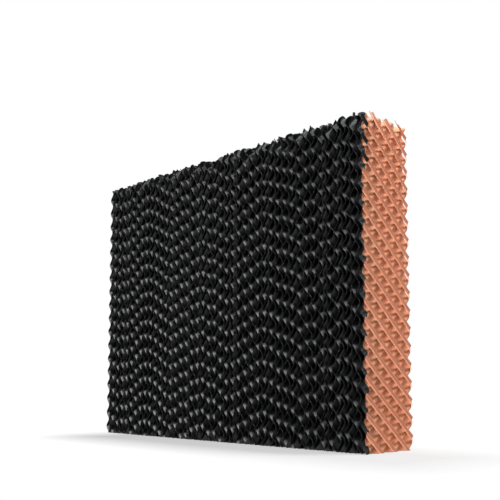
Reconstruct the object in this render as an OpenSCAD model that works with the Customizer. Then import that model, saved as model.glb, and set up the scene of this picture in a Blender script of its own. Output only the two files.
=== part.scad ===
// Evaporative cooling pad: a block of corrugated paper sheets, glued crest to crest with their flutes
// crossing, sawn to size. It stands on its bottom edge. Air enters the black front at -Y.
// Lengths in millimetres, angles in degrees.

/* [Block] */
// height of the block as it stands
pad_height = 450; // [150:10:2000]
// depth of the block, from the front face to the back
pad_depth = 100; // [50:5:300]
// whole sheets in the stack, from the left side to the right
sheet_count = 85; // [23:2:171]
// what the saw left of one more sheet on the right side
sawn_height = 2; // [1:0.25:6]

/* [Sheet] */
// room of one sheet in the stack, from glue line to glue line
flute_height = 7; // [4:0.5:12]
// length of one wave, measured square to the flutes
flute_pitch = 18.8; // [12:0.1:30]
// flat along the top and the bottom of each wave, where the next sheet is glued on
crest_land = 3.1; // [1:0.1:5]
// thickness of the paper
paper_thickness = 0.35; // [0.2:0.05:0.6]
// film of glue between two crests that cross
glue_film = 0.1; // [0.05:0.05:0.2]

/* [Laying] */
// slope of the flutes that rise from the front to the back
rising_angle = 40; // [15:5:75]
// slope of the flutes that fall from the front to the back
falling_angle = 40; // [15:5:75]
// furthest that a sheet's waves lie to one side, as a share of the wave
slip_share = 0.5; // [0:0.05:0.5]
// how fast that shift wanders from each rising sheet to the next sheet
rising_wander = 17; // [0:1:90]
// how fast it wanders from each falling sheet to the next sheet
falling_wander = 26; // [0:1:90]

/* [Hidden] */

bare_paper = [0.72, 0.40, 0.22];
strip_paper = [0.80, 0.47, 0.27];
bundle_count = 11;
pad_width = sheet_count * flute_height + sawn_height;

// middle of the paper from the bottom of a wave to its top
wave_rise = flute_height - glue_film - paper_thickness;
flank_run = flute_pitch / 2 - crest_land;
flank_slope = atan(wave_rise / flank_run);
// how far the outer corner of a fold reaches past the inner one
fold_reach = paper_thickness / 2 * tan(flank_slope / 2);
// longer than any flute in the block
flute_reach = pad_height + pad_depth;
// from one glued crossing to the next along a flute
glue_spacing = flute_pitch / sin(rising_angle + falling_angle);

function rises(i) = i % 2 == 0;
function slip(i) = slip_share * sin((rises(i) ? rising_wander : falling_wander) * i);
function sheet_middle(i) = i * flute_height + (flute_height - glue_film) / 2 - pad_width / 2;

// how far the flutes lean from upright, to the front or to the back
function lean(i) = rises(i) ? rising_angle - 90 : 90 - falling_angle;

// waves that cover the block, with some to spare
function first_wave(i) = floor(min(0, pad_height * sin(lean(i))) / flute_pitch) - 2;
function last_wave(i) =
    ceil((pad_depth * cos(lean(i)) + max(0, pad_height * sin(lean(i)))) / flute_pitch) + 2;

// length of the trough after wave k inside the block, along its flute
function trough_place(i, k) = (k + 0.5 + slip(i)) * flute_pitch;
function trough_length(i, k) =
    let (low = trough_place(i, k) / cos(lean(i)))
    let (high = (trough_place(i, k) - pad_height * sin(lean(i))) / cos(lean(i)))
    (min(pad_depth, max(low, high)) - max(0, min(low, high))) / abs(sin(lean(i)));

// one corner of the folded paper, as height and way along: fold 0 starts the top of wave 0,
// and side is -1 below the paper and 1 above
function fold(k, side) =
    let (wave = floor(k / 4), step = k - 4 * wave)
    let (up = step < 2 ? 1 : -1, ahead = step % 2 == 0 ? -1 : 1)
    let (middle = wave * flute_pitch + (step < 2 ? 0 : flute_pitch / 2))
    [
        up * wave_rise / 2 + side * paper_thickness / 2,
        middle + ahead * (crest_land / 2 + up * side * fold_reach)
    ];

// section of the paper from one fold to another
module folded_paper(first, last) {
    below = [for (k = [first : last]) fold(k, -1)];
    above = [for (k = [last : -1 : first]) fold(k, 1)];
    polygon(concat(below, above));
}

// paper of sheet i from one fold to another, sawn to the block
module sawn_paper(i, first, last) {
    right = min(flute_height / 2, pad_width / 2 - sheet_middle(i));
    translate([sheet_middle(i), -pad_depth / 2, 0])
        intersection() {
            rotate([lean(i), 0, 0])
                translate([0, slip(i) * flute_pitch, -flute_reach])
                linear_extrude(height = 2 * flute_reach)
                folded_paper(first, last);
            translate([-flute_height / 2, 0, 0])
                cube([flute_height / 2 + right, pad_depth, pad_height]);
        }
}

module sheet(i) {
    sawn_paper(i, 4 * first_wave(i), 4 * last_wave(i) + 1);
}

// share number b of the sheets that begin with sheet number start and skip every other one
module bundle(start, b) {
    like = floor((sheet_count - 1 - start) / 2) + 1;
    for (k = [0 : like - 1])
        if (floor(k * bundle_count / like) == b)
            sheet(start + 2 * k);
}

module rising_sheets(b) {
    color(bare_paper) bundle(0, b);
}

module falling_sheets(b) {
    color(bare_paper) bundle(1, b);
}

// troughs that the saw left of the outermost sheet, those long enough to be glued on
module sawn_strips() {
    i = sheet_count;
    color(strip_paper)
        for (k = [first_wave(i) : last_wave(i)])
            if (trough_length(i, k) >= glue_spacing)
                sawn_paper(i, 4 * k + 1, 4 * k + 4);
}

rising_sheets(0);  // rising_sheets_01
rising_sheets(1);  // rising_sheets_02
rising_sheets(2);  // rising_sheets_03
rising_sheets(3);  // rising_sheets_04
rising_sheets(4);  // rising_sheets_05
rising_sheets(5);  // rising_sheets_06
rising_sheets(6);  // rising_sheets_07
rising_sheets(7);  // rising_sheets_08
rising_sheets(8);  // rising_sheets_09
rising_sheets(9);  // rising_sheets_10
rising_sheets(10);  // rising_sheets_11
falling_sheets(0);  // falling_sheets_01
falling_sheets(1);  // falling_sheets_02
falling_sheets(2);  // falling_sheets_03
falling_sheets(3);  // falling_sheets_04
falling_sheets(4);  // falling_sheets_05
falling_sheets(5);  // falling_sheets_06
falling_sheets(6);  // falling_sheets_07
falling_sheets(7);  // falling_sheets_08
falling_sheets(8);  // falling_sheets_09
falling_sheets(9);  // falling_sheets_10
falling_sheets(10);  // falling_sheets_11
sawn_strips();
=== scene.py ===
"""Evaporative cooling pad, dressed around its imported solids.

Corrugated paper sheets stand side by side, glued crest to crest with their flutes crossing. The
front is coated black, and the sawn right side shows the bare terracotta paper. Lengths are in
metres, angles in degrees.
"""

from __future__ import annotations

import logging
import math
from dataclasses import dataclass, replace
from enum import Enum
from typing import Any

import bmesh
import bpy
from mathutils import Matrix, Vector, noise

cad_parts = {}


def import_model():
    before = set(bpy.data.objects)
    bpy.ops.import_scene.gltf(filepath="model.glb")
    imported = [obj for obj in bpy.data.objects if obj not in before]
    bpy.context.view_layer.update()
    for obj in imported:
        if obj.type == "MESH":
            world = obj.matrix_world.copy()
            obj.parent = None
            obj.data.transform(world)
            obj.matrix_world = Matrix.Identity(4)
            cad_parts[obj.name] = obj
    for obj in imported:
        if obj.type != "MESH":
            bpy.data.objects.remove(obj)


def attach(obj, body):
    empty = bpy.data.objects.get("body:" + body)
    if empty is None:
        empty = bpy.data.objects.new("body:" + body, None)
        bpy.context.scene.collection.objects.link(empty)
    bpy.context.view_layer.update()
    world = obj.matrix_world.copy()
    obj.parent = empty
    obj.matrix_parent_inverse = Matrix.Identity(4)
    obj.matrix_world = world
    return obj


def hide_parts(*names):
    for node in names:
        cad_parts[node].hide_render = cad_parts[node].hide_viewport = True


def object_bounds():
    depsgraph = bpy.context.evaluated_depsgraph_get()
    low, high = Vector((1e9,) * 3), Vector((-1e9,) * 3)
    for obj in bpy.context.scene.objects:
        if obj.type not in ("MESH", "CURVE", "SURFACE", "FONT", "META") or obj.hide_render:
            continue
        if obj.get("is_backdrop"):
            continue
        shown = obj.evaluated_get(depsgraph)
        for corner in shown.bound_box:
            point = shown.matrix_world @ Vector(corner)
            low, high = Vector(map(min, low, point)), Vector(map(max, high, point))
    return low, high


LOG = logging.getLogger("cooling_pad")

BODY = "root"
MM = 0.001
CUT_TOLERANCE = 1e-6

# a Mix node set to colours, and its sockets
MIX_COLOURS = {"data_type": "RGBA", "clamp_factor": True}
MIX_FIRST = 6
MIX_SECOND = 7
MIX_RESULT = 2
# what a Noise node gives on average
NOISE_MIDDLE = 0.5

Colour = tuple[float, float, float, float]

WHITE: Colour = (1.0, 1.0, 1.0, 1.0)


def smooth_step(share: float) -> float:
    """0 below 0, 1 above 1, and an even S between."""
    held = min(1.0, max(0.0, share))
    return held * held * (3.0 - 2.0 * held)


class Wire:
    """A shader socket that can be used in an expression like a number."""

    def __init__(self, paint: Paint, socket: bpy.types.NodeSocket) -> None:
        """Keeps the socket and the paint that it belongs to."""
        self.paint = paint
        self.socket = socket

    def beside(self, output: str) -> Wire:
        """Another output of the same node."""
        return Wire(self.paint, self.socket.node.outputs[output])

    def _maths(self, operation: str, first: Any, second: Any, clamp: bool = False) -> Wire:
        """Result of one Math node on two values or wires, clamped from 0 to 1 if asked."""
        settings = {"operation": operation, "use_clamp": clamp}
        return self.paint.node("ShaderNodeMath", settings, {0: first, 1: second})

    def __add__(self, other: Any) -> Wire:
        """self + other."""
        return self._maths("ADD", self, other)

    def __radd__(self, other: Any) -> Wire:
        """other + self."""
        return self._maths("ADD", other, self)

    def __sub__(self, other: Any) -> Wire:
        """self - other."""
        return self._maths("SUBTRACT", self, other)

    def __rsub__(self, other: Any) -> Wire:
        """other - self."""
        return self._maths("SUBTRACT", other, self)

    def __mul__(self, other: Any) -> Wire:
        """self * other."""
        return self._maths("MULTIPLY", self, other)

    def __rmul__(self, other: Any) -> Wire:
        """other * self."""
        return self._maths("MULTIPLY", other, self)

    def __truediv__(self, other: Any) -> Wire:
        """self / other."""
        return self._maths("DIVIDE", self, other)

    def __rtruediv__(self, other: Any) -> Wire:
        """other / self."""
        return self._maths("DIVIDE", other, self)

    def held(self) -> Wire:
        """The value kept from 0 to 1."""
        return self._maths("ADD", self, 0.0, clamp=True)

    def most(self, other: Any) -> Wire:
        """The larger of the two."""
        return self._maths("MAXIMUM", self, other)

    def past(self, start: float, span: float) -> Wire:
        """0 up to a start, 1 from a span beyond it, and even between."""
        return ((self - start) / span).held()


class Paint:
    """The node tree of one material or of the world, built by expressions."""

    def __init__(self, tree: bpy.types.NodeTree) -> None:
        """Empties the tree."""
        self.tree = tree
        self.tree.nodes.clear()

    def node(
        self,
        kind: str,
        settings: dict[str, Any] | None = None,
        inputs: dict[str | int, Any] | None = None,
        output: str | int = 0,
    ) -> Wire:
        """Adds one node.

        Args:
            kind: the node's type.
            settings: its properties, which are set first.
            inputs: values or wires for its sockets, by name or number.
            output: which result to give back.

        Returns:
            The chosen output as a wire.
        """
        made = self.tree.nodes.new(kind)
        for name, value in (settings or {}).items():
            setattr(made, name, value)
        for name, value in (inputs or {}).items():
            if isinstance(value, Wire):
                self.tree.links.new(value.socket, made.inputs[name])
            else:
                made.inputs[name].default_value = value
        return Wire(self, made.outputs[output])

    def show(self, shader: Wire, kind: str = "ShaderNodeOutputMaterial") -> None:
        """Sends a shader to the tree's output, a node of the given type."""
        made = self.tree.nodes.new(kind)
        self.tree.links.new(shader.socket, made.inputs["Surface"])

    def blend(self, share: Any, first: Any, second: Any) -> Wire:
        """Mixes two colours, with a share of the second."""
        inputs = {0: share, MIX_FIRST: first, MIX_SECOND: second}
        return self.node("ShaderNodeMix", MIX_COLOURS, inputs, MIX_RESULT)

    def layer(self, share: Wire, under: Wire, over: Wire) -> Wire:
        """Mixes two shaders, with a share of the upper one."""
        return self.node("ShaderNodeMixShader", None, {0: share, 1: under, 2: over})

    def speckle(self, where: Wire, scale: float, detail: float = 2.0, rough: float = 0.5) -> Wire:
        """Noise round 0.5, with so many blotches to the metre and so many finer octaves."""
        inputs = {"Vector": where, "Scale": scale, "Detail": detail, "Roughness": rough}
        return self.node("ShaderNodeTexNoise", None, inputs)

    def reckon(self, operation: str, first: Wire, second: Vector | None = None) -> Wire:
        """Result of one Vector Math node on a vector, or on two."""
        inputs = {0: first} if second is None else {0: first, 1: second}
        return self.node("ShaderNodeVectorMath", {"operation": operation}, inputs)

    def seen(self) -> Wire:
        """1 for rays that show the backdrop itself: from the camera, a gloss or a clear body."""
        seen = self.node("ShaderNodeLightPath", None, None, "Is Camera Ray")
        return seen.most(seen.beside("Is Glossy Ray")).most(seen.beside("Is Transmission Ray"))


class Lay(Enum):
    """Which way a sheet's flutes run from the front to the back."""

    RISING = 1
    FALLING = -1


@dataclass(frozen=True)
class Block:
    """The sawn block and its corrugation, as the solids have them."""

    low: Vector
    high: Vector
    sheet_count: int = 85
    bundle_count: int = 11
    flute_height: float = 7.0 * MM
    flute_pitch: float = 18.8 * MM
    crest_land: float = 3.1 * MM
    paper: float = 0.35 * MM
    glue_film: float = 0.1 * MM
    flute_slope: float = 40.0
    # largest shift of the waves, as a share of one, and how fast it swings from sheet to sheet
    slip_share: float = 0.5
    rising_wander: float = 17.0
    falling_wander: float = 26.0

    @property
    def depth(self) -> float:
        """From the front face to the back."""
        return self.high.y - self.low.y

    @property
    def height(self) -> float:
        """From the bottom to the top."""
        return self.high.z - self.low.z

    @property
    def wave_rise(self) -> float:
        """Middle of the paper from the bottom of a wave to its top."""
        return self.flute_height - self.glue_film - self.paper

    @property
    def climb(self) -> float:
        """How far a flute rises or falls for each metre of depth."""
        return math.tan(math.radians(self.flute_slope))

    @property
    def front_pitch(self) -> float:
        """Length of one wave, measured up the front face."""
        return self.flute_pitch / math.cos(math.radians(self.flute_slope))

    @property
    def glue_spacing(self) -> float:
        """From one glued crossing to the next along a flute."""
        return self.flute_pitch / math.sin(math.radians(2.0 * self.flute_slope))

    def bundle(self, lay: Lay, number: int) -> list[int]:
        """The sheets of one lay that one node holds, all counted from 0 at the left."""
        alike = range(0 if lay is Lay.RISING else 1, self.sheet_count, 2)
        return [s for k, s in enumerate(alike) if k * self.bundle_count // len(alike) == number]


@dataclass(frozen=True)
class Handling:
    """What sawing, dipping and carrying did to the sheets, and how finely that is modelled.

    A scale says how fast the noise changes to the metre, and a start picks a place in it.
    """

    # points along one wave, and the rows across the depth as shares of it
    samples: int = 16
    rows: tuple[float, ...] = (0.0, 0.025, 0.08, 0.3, 0.65, 0.94, 1.0)
    # rounding of the folds, as a share of half the wave's height
    fold_round: float = 0.45
    # extra thickness of the coated front edges
    coat_swell: float = 0.09 * MM
    coat_swell_depth: float = 6.0 * MM
    # small push of the front edges to either side
    front_push: float = 0.45 * MM
    front_push_depth: float = 9.0 * MM
    push_scale: float = 95.0
    push_start: tuple[float, float] = (3.1, 0.9)
    # wander of the waves on one sheet, up the height and across the depth
    amble: float = 2.2 * MM
    amble_scale: tuple[float, float] = (14.0, 12.0)
    amble_start: float = 0.4
    # how unevenly the sheets were laid on each other
    seat_shift: float = 3.0 * MM
    seat_swing: float = 2.4
    # worn top edge: how far down it goes, how much it rises and how much it leans
    ragged_reach: float = 14.0 * MM
    ragged_height: float = 8.0 * MM
    ragged_scale: float = 55.0
    ragged_start: tuple[float, float] = (9.7, 0.2)
    ragged_lean: float = 1.8 * MM
    lean_scale: float = 40.0
    lean_start: tuple[float, float] = (1.9, 8.8)
    # blunted front corners of the top edge
    corner_reach: float = 7.0 * MM
    corner_drop: float = 2.4 * MM
    # how much of the wear is missing behind the front edge
    calm: float = 0.6
    calm_reach: float = 16.0 * MM
    # how far apart two sheets lie in the noise
    sheet_stride: float = 7.3
    # folds sharper than this stay sharp
    sharp_angle: float = 50.0


@dataclass(frozen=True)
class Sheet:
    """One corrugated sheet, counted from the left."""

    number: int
    block: Block
    handling: Handling

    @property
    def lay(self) -> Lay:
        """Even sheets rise to the back."""
        return Lay.RISING if self.number % 2 == 0 else Lay.FALLING

    @property
    def slip(self) -> float:
        """Shift of the waves against the sheets beside it.

        Returns:
            The shift, as a share of one wave.
        """
        block = self.block
        wander = block.rising_wander if self.lay is Lay.RISING else block.falling_wander
        return block.slip_share * math.sin(math.radians(wander * self.number))

    @property
    def middle(self) -> float:
        """Where the sheet stands along the stack.

        Returns:
            The place of its middle, to the right of the pad's middle.
        """
        block = self.block
        room = block.flute_height - block.glue_film
        return block.low.x + self.number * block.flute_height + room / 2.0

    def turn(self, front_height: float) -> float:
        """Waves counted up to a height on the front, with whole numbers at the crests."""
        return -self.lay.value * front_height / self.block.front_pitch - self.slip

    def wave(self, turn: float) -> float:
        """Folded section of the paper, with rounded folds.

        Args:
            turn: waves counted along the section.

        Returns:
            How far the paper stands out from the sheet's middle.
        """
        block = self.block
        half_pitch = block.flute_pitch / 2.0
        zigzag = 4.0 * abs(turn - math.floor(turn) - 0.5) - 1.0
        steep = zigzag * half_pitch / (half_pitch - block.crest_land)
        size = abs(steep)
        rounding = self.handling.fold_round
        if size >= 1.0 + rounding:
            size = 1.0
        elif size > 1.0 - rounding:
            size -= (size - 1.0 + rounding) ** 2 / (4.0 * rounding)
        return math.copysign(size, steep) * block.wave_rise / 2.0

    def drift(self, place: Vector) -> float:
        """Smooth noise that is the same at each run, about from -1 to 1."""
        return noise.noise(place + Vector((0.0, 0.0, self.handling.sheet_stride * self.number)))

    def place(self, front_height: float, inward: float) -> Vector:
        """Where a point of the flat paper comes to lie.

        Args:
            front_height: where its flute meets the front face.
            inward: depth behind the front face.

        Returns:
            The point in the block's frame.
        """
        block, handling = self.block, self.handling
        height = front_height + self.lay.value * inward * block.climb
        up_scale, inward_scale = handling.amble_scale
        spot = Vector((height * up_scale, inward * inward_scale, handling.amble_start))
        amble = handling.amble * self.drift(spot)
        amble += handling.seat_shift * math.sin(handling.seat_swing * self.number * self.number)
        stand = self.wave(self.turn(front_height + amble))
        near = 1.0 - smooth_step(inward / handling.front_push_depth)
        spot = Vector((height * handling.push_scale, *handling.push_start))
        stand += near * handling.front_push * self.drift(spot)
        return Vector((self.middle + stand, block.low.y + inward, block.low.z + height))

    def build(self, bm: bmesh.types.BMesh) -> None:
        """Adds the sheet to a mesh.

        Args:
            bm: the mesh of the bundle.
        """
        block, handling = self.block, self.handling
        own = bmesh.new()
        spread = block.depth * block.climb
        lowest = -spread if self.lay is Lay.RISING else 0.0
        columns = math.ceil((block.height + spread) / block.front_pitch * handling.samples)
        step = block.front_pitch / handling.samples
        last_row = len(handling.rows) - 1
        bmesh.ops.create_grid(own, x_segments=columns, y_segments=last_row, size=0.5)
        for vertex in own.verts:
            column = round((vertex.co.x + 0.5) * columns)
            row = round((vertex.co.y + 0.5) * last_row)
            vertex.co = self.place(lowest + column * step, handling.rows[row] * block.depth)
        self.saw(own)
        self.roughen_top(own)
        self.thicken(own)
        swap = bpy.data.meshes.new("one_sheet")
        own.to_mesh(swap)
        own.free()
        bm.from_mesh(swap)
        bpy.data.meshes.remove(swap)

    def saw(self, own: bmesh.types.BMesh) -> None:
        """Cuts the sheet off level at the bottom and the top."""
        self.cut(own, Vector((0.0, 0.0, self.block.low.z)), Vector((0.0, 0.0, -1.0)))
        self.cut(own, Vector((0.0, 0.0, self.block.high.z)), Vector((0.0, 0.0, 1.0)))

    @staticmethod
    def cut(own: bmesh.types.BMesh, point: Vector, outward: Vector) -> None:
        """Cuts away what lies beyond a plane.

        Args:
            own: the mesh.
            point: a point on the plane.
            outward: its normal, to the side that falls away.
        """
        bmesh.ops.bisect_plane(
            own,
            geom=own.verts[:] + own.edges[:] + own.faces[:],
            dist=CUT_TOLERANCE,
            plane_co=point,
            plane_no=outward,
            clear_outer=True,
        )

    def wear(self, inward: float) -> float:
        """How worn the top edge is at a depth: most at the front, less behind it."""
        return 1.0 - self.handling.calm * smooth_step(inward / self.handling.calm_reach)

    def roughen_top(self, own: bmesh.types.BMesh) -> None:
        """Leaves the top edge uneven, as the saw and the handling did.

        Args:
            own: the sheet's mesh.
        """
        block, handling = self.block, self.handling
        foot = block.high.z - handling.ragged_reach
        for vertex in own.verts:
            share = smooth_step((vertex.co.z - foot) / handling.ragged_reach)
            if share > 0.0:
                inward = vertex.co.y - block.low.y
                lift = self.drift(Vector((inward * handling.ragged_scale, *handling.ragged_start)))
                lean = self.drift(Vector((inward * handling.lean_scale, *handling.lean_start)))
                corner = max(0.0, 1.0 - inward / handling.corner_reach) ** 2
                lift *= handling.ragged_height * self.wear(inward)
                vertex.co.z += share * (lift - handling.corner_drop * corner)
                vertex.co.x += share * handling.ragged_lean * lean

    def thicken(self, own: bmesh.types.BMesh) -> None:
        """Gives the paper its thickness, and a little more where the coat lies on it.

        Args:
            own: the sheet's mesh.
        """
        block, handling = self.block, self.handling
        own.normal_update()
        for vertex in own.verts:
            vertex.co += vertex.normal * block.paper / 2.0
        bmesh.ops.solidify(own, geom=own.faces[:], thickness=block.paper)
        bmesh.ops.recalc_face_normals(own, faces=own.faces[:])
        own.normal_update()
        for vertex in own.verts:
            inward = vertex.co.y - block.low.y
            near = 1.0 - smooth_step(inward / handling.coat_swell_depth)
            vertex.co += vertex.normal * handling.coat_swell * near
            vertex.co.z = max(vertex.co.z, block.low.z)
        for face in own.faces:
            face.smooth = True
        limit = math.radians(handling.sharp_angle)
        for edge in own.edges:
            edge.smooth = edge.calc_face_angle(0.0) < limit


@dataclass(frozen=True)
class SawnSheet(Sheet):
    """The outermost sheet, of which the saw left only the troughs."""

    def saw(self, own: bmesh.types.BMesh) -> None:
        """Cuts the crests off, and takes away the strips too short to be glued on.

        Args:
            own: the sheet's mesh.
        """
        super().saw(own)
        self.cut(own, Vector((self.block.high.x, 0.0, 0.0)), Vector((1.0, 0.0, 0.0)))
        loose = [v for v in own.verts if self.strip_length(v.co) < self.block.glue_spacing]
        bmesh.ops.delete(own, geom=loose, context="VERTS")

    def wear(self, inward: float) -> float:
        """The strips are worn alike at every depth."""
        return 1.0

    def strip_length(self, point: Vector) -> float:
        """Length of the strip that a point belongs to.

        Args:
            point: a point of the sheet.

        Returns:
            Length along the flute, inside the block.
        """
        block = self.block
        inward = point.y - block.low.y
        front_height = point.z - block.low.z - self.lay.value * inward * block.climb
        trough = math.floor(self.turn(front_height)) + 0.5
        start = (trough + self.slip) * block.front_pitch * -self.lay.value
        ends = sorted((start / block.climb, (start - block.height) / block.climb))
        run = min(block.depth, ends[1]) - max(0.0, ends[0])
        return run / math.cos(math.radians(block.flute_slope))


@dataclass(frozen=True)
class Ground:
    """Places, noises and masks that the layers of the coated paper share."""

    # the point, its distance to the right of the pad's middle, depth behind the front, height
    where: Wire
    across: Wire
    inward: Wire
    up: Wire
    # fine grain and broad tone of the paper
    fine: Wire
    tone: Wire
    # 1 on the outward faces of the outermost sheets, on the coat and on the front's cut edges
    outer: Wire
    coat: Wire
    rim: Wire


@dataclass(frozen=True)
class CoatedPaper:
    """Resin-stiffened terracotta paper with a black coat on the front edges."""

    name: str
    front: float
    right: float
    top: float
    # how deep the coat reaches between the sheets, and how unevenly
    coat_depth: float = 36.0 * MM
    coat_swing: float = 11.0 * MM
    coat_fade: float = 0.8 * MM
    run_scale: float = 55.0
    # the same on the outward faces of the outermost sheets, and where those faces begin
    outer_depth: float = 6.0 * MM
    outer_swing: float = 7.0 * MM
    outer_from: float = 10.0 * MM
    outer_to: float = 9.2 * MM
    left_to: float = 7.2 * MM
    outer_dull: float = 0.85
    facing_contrast: float = 8.0
    # deeper coat near the top corner
    corner_depth: float = 3.0 * MM
    corner_height: float = 78.0 * MM
    corner_fade: float = 14.0 * MM
    # cut front edges, with fibres that show through
    rim: float = 0.25 * MM
    rim_fade: float = 0.1 * MM
    fibre_scale: float = 260.0
    fibre_level: float = 0.54
    fibre_contrast: float = 6.0
    # pale sawn faces on the right, and a pale band at the top that is painted glow: light shining
    # through the thin paper at the top, painted into its colour
    saw_mark: float = 0.2 * MM
    saw_fade: float = 0.1 * MM
    saw_share: float = 0.8
    painted_glow_band: float = 8.0 * MM
    painted_glow_share: float = 0.7
    # dull coat below the top edge
    worn_height: float = 26.0 * MM
    worn_fade: float = 14.0 * MM
    worn_dull: float = 0.7
    # grain, tone and the change of shade from sheet to sheet
    fine_scale: float = 1400.0
    tone_scale: float = 70.0
    batch_scale: tuple[float, float, float] = (143.0, 6.0, 6.0)
    fleck_share: float = 0.7
    tone_share: float = 1.3
    batch_share: float = 1.1
    shade_level: float = 0.7
    relief: float = 0.12 * MM
    relief_strength: float = 0.35
    relief_tone: float = 0.6
    # colours
    paper_dark: Colour = (0.45, 0.150, 0.065, 1.0)
    paper_light: Colour = (0.58, 0.228, 0.104, 1.0)
    # pale core colour of the sawn paper, also used for the painted glow of light through the top
    # of the paper
    sawn_core_and_painted_glow: Colour = (0.78, 0.41, 0.27, 1.0)
    coat_dark: Colour = (0.0030, 0.0033, 0.0039, 1.0)
    coat_light: Colour = (0.0085, 0.0091, 0.0102, 1.0)
    cut_edge: Colour = (0.034, 0.0345, 0.036, 1.0)
    outer_coat: Colour = (0.0130, 0.0138, 0.0155, 1.0)
    fibre: Colour = (0.24, 0.24, 0.245, 1.0)
    # gloss, and the light that comes through bare paper
    paper_rough: float = 0.78
    coat_rough: float = 0.46
    rough_swing: float = 0.25
    dull_rough: float = 0.95
    gloss_level: float = 0.70
    glow_share: float = 0.40
    glow: Colour = (0.92, 0.55, 0.28, 1.0)

    def material(self) -> bpy.types.Material:
        """Makes the material.

        Returns:
            The finished material.
        """
        made = bpy.data.materials.new(self.name)
        made.use_nodes = True
        paint = Paint(made.node_tree)
        ground = self.ground(paint)
        worn_top = ground.up.past(self.top - self.worn_height, self.worn_fade)
        share = ground.rim.most(ground.outer * self.outer_dull).most(worn_top * self.worn_dull)
        body, dull = self.body(paint, ground), self.dull(paint, ground)
        paint.show(paint.layer(share * ground.coat, body, dull))
        return made

    def ground(self, paint: Paint) -> Ground:
        """Prepares what the layers share.

        Args:
            paint: the material's nodes.

        Returns:
            The places, noises and masks.
        """
        where = paint.node("ShaderNodeTexCoord", None, None, "Object")
        across = paint.node("ShaderNodeSeparateXYZ", None, {0: where})
        inward = across.beside("Y") - self.front
        up = across.beside("Z")
        fine = paint.speckle(where, self.fine_scale, detail=3.0, rough=0.6)
        tone = paint.speckle(where, self.tone_scale, detail=3.0)
        outer = self.outer_mask(paint, across)
        run = paint.speckle(where, self.run_scale, detail=3.0, rough=0.55) - NOISE_MIDDLE
        coat = self.coat_mask(run, outer, inward, up)
        rim = ((self.rim - inward) / self.rim_fade).held()
        return Ground(where, across, inward, up, fine, tone, outer, coat, rim)

    def outer_mask(self, paint: Paint, across: Wire) -> Wire:
        """Faces of the outermost sheets that look out to the sides.

        Args:
            paint: the material's nodes.
            across: distance from the pad's middle, to the right.

        Returns:
            1 on those faces and the strips, 0 elsewhere.
        """
        normal = paint.node("ShaderNodeNewGeometry", None, None, "True Normal")
        facing = paint.node("ShaderNodeSeparateXYZ", None, {0: normal}) * self.facing_contrast
        fade = self.outer_from - self.outer_to
        right = across.past(self.right - self.outer_from, fade) * (facing + 0.5).held()
        left = ((self.left_to - self.right - across) / fade).held() * (0.5 - facing).held()
        return right.most(left)

    def coat_mask(self, run: Wire, outer: Wire, inward: Wire, up: Wire) -> Wire:
        """Where the black coat lies: deep between the sheets, thin on the outermost ones.

        Args:
            run: how unevenly the coat ran, round 0.
            outer: 1 on the outward faces of the outermost sheets.
            inward: depth behind the front face.
            up: height.

        Returns:
            1 on the coat, 0 on bare paper.
        """
        corner = up.past(self.top - self.corner_height, self.corner_fade)
        inner_edge = self.coat_depth + run * (2.0 * self.coat_swing)
        outer_edge = self.outer_depth + run * (2.0 * self.outer_swing) + corner * self.corner_depth
        edge = inner_edge + outer * (outer_edge - inner_edge)
        return ((edge - inward) / self.coat_fade + 0.5).held()

    def body(self, paint: Paint, ground: Ground) -> Wire:
        """Bare paper that lets light through, and the glossy coat.

        Args:
            paint: the material's nodes.
            ground: what the layers share.

        Returns:
            The shader.
        """
        fine, tone, coat = ground.fine, ground.tone, ground.coat
        fleck = (fine - NOISE_MIDDLE) * self.fleck_share
        black = paint.blend((tone + fleck).held(), self.coat_dark, self.coat_light)
        gloss_change = self.coat_rough - self.paper_rough
        rough_change = gloss_change + (fine - NOISE_MIDDLE) * self.rough_swing
        relief = {
            "Strength": self.relief_strength,
            "Distance": self.relief,
            "Height": fine + tone * self.relief_tone,
        }
        finish = {
            "Base Color": paint.blend(coat, self.paper(paint, ground, fleck), black),
            "Roughness": self.paper_rough + coat * rough_change,
            "Normal": paint.node("ShaderNodeBump", None, relief),
            "Specular IOR Level": self.gloss_level,
        }
        solid = paint.node("ShaderNodeBsdfPrincipled", None, finish)
        through = paint.node("ShaderNodeBsdfTranslucent", None, {"Color": self.glow})
        share = (1.0 - coat) * (1.0 - ground.outer) * self.glow_share
        return paint.layer(share, solid, through)

    def paper(self, paint: Paint, ground: Ground, fleck: Wire) -> Wire:
        """Colour of the bare paper: mottled, paler where it was sawn on the right, and paler
        towards the top as painted glow of light through the paper.

        Args:
            paint: the material's nodes.
            ground: what the layers share.
            fleck: fine change of the shade.

        Returns:
            The colour.
        """
        stretch = {"Vector": ground.where, "Scale": self.batch_scale}
        batch = paint.node("ShaderNodeMapping", None, stretch)
        batch = paint.speckle(batch, scale=1.0, detail=1.0)
        shade = ground.tone * self.tone_share + batch * self.batch_share - self.shade_level + fleck
        mottled = paint.blend(shade.held(), self.paper_dark, self.paper_light)
        sawn = ground.across.past(self.right - self.saw_mark, self.saw_fade)
        # the pale band below the top is painted glow of light shining through the paper, not a
        # colour the paper has
        painted_glow_band = ground.up.past(self.top - self.painted_glow_band, self.painted_glow_band)
        pale = (sawn * self.saw_share).most(painted_glow_band * self.painted_glow_share)
        return paint.blend(pale, mottled, self.sawn_core_and_painted_glow)

    def dull(self, paint: Paint, ground: Ground) -> Wire:
        """Matt coat of cut edges, outward faces and the worn top, with fibres on the cut edges.

        Args:
            paint: the material's nodes.
            ground: what the layers share.

        Returns:
            The shader.
        """
        frayed = paint.speckle(ground.where, self.fibre_scale, detail=3.0, rough=0.65)
        frayed = ((frayed - self.fibre_level) * self.fibre_contrast).held() * ground.rim
        matt = paint.blend(ground.rim, self.outer_coat, self.cut_edge)
        finish = {
            "Base Color": paint.blend(frayed, matt, self.fibre),
            "Roughness": self.dull_rough,
            "Specular IOR Level": 0.0,
        }
        return paint.node("ShaderNodeBsdfPrincipled", None, finish)


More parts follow.
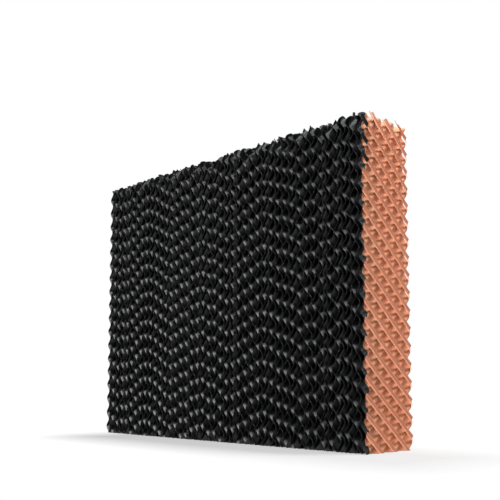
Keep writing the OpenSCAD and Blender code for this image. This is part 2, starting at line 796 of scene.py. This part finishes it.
@dataclass(frozen=True)
class Pad:
    """The stack of sheets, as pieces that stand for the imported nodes."""

    block: Block
    handling: Handling
    sheet_finish: CoatedPaper
    strip_finish: CoatedPaper

    def build(self) -> list[bpy.types.Object]:
        """Makes all pieces.

        Returns:
            The pieces, in the order of their nodes.
        """
        paper = self.sheet_finish.material()
        pieces = []
        for lay in Lay:
            way = lay.name.lower()
            for number in range(self.block.bundle_count):
                numbers = self.block.bundle(lay, number)
                sheets = [Sheet(n, self.block, self.handling) for n in numbers]
                name, node = f"{way}_paper_{number + 1:02d}", f"{way}_sheets_{number + 1:02d}"
                pieces.append(self.piece(name, node, sheets, paper))
        paper = self.strip_finish.material()
        strips = [SawnSheet(self.block.sheet_count, self.block, self.handling)]
        pieces.append(self.piece("sawn_paper", "sawn_strips", strips, paper))
        return pieces

    @staticmethod
    def piece(
        name: str, node: str, sheets: list[Sheet], paper: bpy.types.Material
    ) -> bpy.types.Object:
        """Makes one piece of several sheets and puts it in a node's place.

        Args:
            name: the piece's name.
            node: the node that it stands for.
            sheets: what it is made of.
            paper: its material.

        Returns:
            The piece.
        """
        bm = bmesh.new()
        for sheet in sheets:
            sheet.build(bm)
        mesh = bpy.data.meshes.new(name)
        bm.to_mesh(mesh)
        bm.free()
        mesh.materials.append(paper)
        made = bpy.data.objects.new(name, mesh)
        bpy.context.scene.collection.objects.link(made)
        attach(made, BODY)
        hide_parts(node)
        return made


@dataclass(frozen=True)
class Lamp:
    """One soft studio lamp."""

    name: str
    place: Vector
    aim: Vector
    size: float
    watts: float

    def build(self) -> None:
        """Hangs the lamp."""
        data = bpy.data.lights.new(self.name, "AREA")
        data.shape = "DISK"
        data.size = self.size
        data.energy = self.watts
        lamp = bpy.data.objects.new(self.name, data)
        lamp.location = self.place
        lamp.rotation_euler = (self.aim - self.place).to_track_quat("-Z", "Y").to_euler()
        bpy.context.scene.collection.objects.link(lamp)


@dataclass(frozen=True)
class PaleFloor:
    """Pale floor that keeps the shadow and fades into the white backdrop."""

    colour: Colour = (0.44, 0.44, 0.44, 1.0)
    # half the size of the place that shows the floor itself, and its middle
    foot: Vector = Vector((0.2985, 0.05, 0.0))
    foot_middle: Vector = Vector((0.085, -0.06, 0.0))
    # the fade begins inside that place, so that no shadow is quite black
    fade_from: float = -0.05
    fade_to: float = 0.11

    def material(self) -> bpy.types.Material:
        """Makes the material.

        Returns:
            The finished material.
        """
        made = bpy.data.materials.new("studio_floor")
        made.use_nodes = True
        paint = Paint(made.node_tree)
        where = paint.node("ShaderNodeTexCoord", None, None, "Object")
        aside = paint.reckon("ABSOLUTE", paint.reckon("SUBTRACT", where, self.foot_middle))
        beyond = paint.reckon("MAXIMUM", paint.reckon("SUBTRACT", aside, self.foot), Vector())
        away = paint.reckon("LENGTH", beyond).beside("Value")
        fade = away.past(self.fade_from, self.fade_to - self.fade_from)
        lit = paint.node("ShaderNodeBsdfDiffuse", None, {"Color": self.colour})
        white = paint.node("ShaderNodeEmission", None, {"Color": WHITE, "Strength": 1.0})
        paint.show(paint.layer(fade * paint.seen(), lit, white))
        return made


@dataclass(frozen=True)
class Studio:
    """Pale floor, soft lamps and the camera."""

    lamps: tuple[Lamp, ...]
    camera_place: Vector = Vector((0.9170, -0.8416, 0.0927))
    camera_tilt: float = 6.3
    camera_turn: float = 46.533
    camera_lens: float = 55.614
    camera_shift: float = 0.0920
    floor_reach: float = 8.0
    sky_strength: float = 0.35

    def build(self) -> None:
        """Sets up everything round the pad."""
        self.floor()
        self.world()
        self.camera()
        for lamp in self.lamps:
            lamp.build()
        bpy.context.scene.view_settings.view_transform = "Standard"

    def floor(self) -> None:
        """Lays the floor."""
        bm = bmesh.new()
        bmesh.ops.create_grid(bm, x_segments=1, y_segments=1, size=self.floor_reach)
        mesh = bpy.data.meshes.new("studio_floor")
        bm.to_mesh(mesh)
        bm.free()
        mesh.materials.append(PaleFloor().material())
        floor = bpy.data.objects.new("studio_floor", mesh)
        bpy.context.scene.collection.objects.link(floor)
        floor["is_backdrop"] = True

    def world(self) -> None:
        """Surrounds the pad with even light and a white backdrop."""
        world = bpy.data.worlds.new("studio_sky")
        world.use_nodes = True
        bpy.context.scene.world = world
        paint = Paint(world.node_tree)
        light = {"Color": WHITE, "Strength": self.sky_strength}
        lit = paint.node("ShaderNodeBackground", None, light)
        white = paint.node("ShaderNodeBackground", None, {"Color": WHITE, "Strength": 1.0})
        paint.show(paint.layer(paint.seen(), lit, white), "ShaderNodeOutputWorld")

    def camera(self) -> None:
        """Places the camera low before the right corner."""
        data = bpy.data.cameras.new("studio_camera")
        data.lens = self.camera_lens
        data.shift_y = self.camera_shift
        made = bpy.data.objects.new("studio_camera", data)
        made.location = self.camera_place
        tilt = math.radians(90.0 + self.camera_tilt)
        made.rotation_euler = (tilt, 0.0, math.radians(self.camera_turn))
        bpy.context.scene.collection.objects.link(made)
        bpy.context.scene.camera = made


def main() -> None:
    """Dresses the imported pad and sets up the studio."""
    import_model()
    low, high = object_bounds()
    block = Block(low, high)
    sheets = CoatedPaper("coated_paper", low.y, high.x, high.z)
    strips = replace(
        sheets,
        name="sawn_side_paper",
        outer_depth=-1.0 * MM,
        corner_depth=14.0 * MM,
        paper_dark=(0.57, 0.207, 0.109, 1.0),
        paper_light=(0.67, 0.270, 0.156, 1.0),
    )
    pieces = Pad(block, Handling(), sheets, strips).build()
    for piece in pieces:
        LOG.info("%s: %d faces", piece.name, len(piece.data.polygons))
    middle = Vector((0.0, 0.0, block.height / 2.0))
    key = Lamp("key_lamp", Vector((0.95, -0.65, 2.30)), middle, size=0.9, watts=54.0)
    side = Lamp("side_lamp", Vector((2.20, -0.50, 0.50)), middle, size=1.6, watts=3.5)
    back = Lamp("back_lamp", Vector((1.10, 0.75, 1.90)), middle, size=0.8, watts=38.0)
    Studio((key, side, back)).build()
    LOG.info("%d pieces", len(pieces))


if __name__ == "__main__":
    logging.basicConfig(level=logging.INFO)
    main()
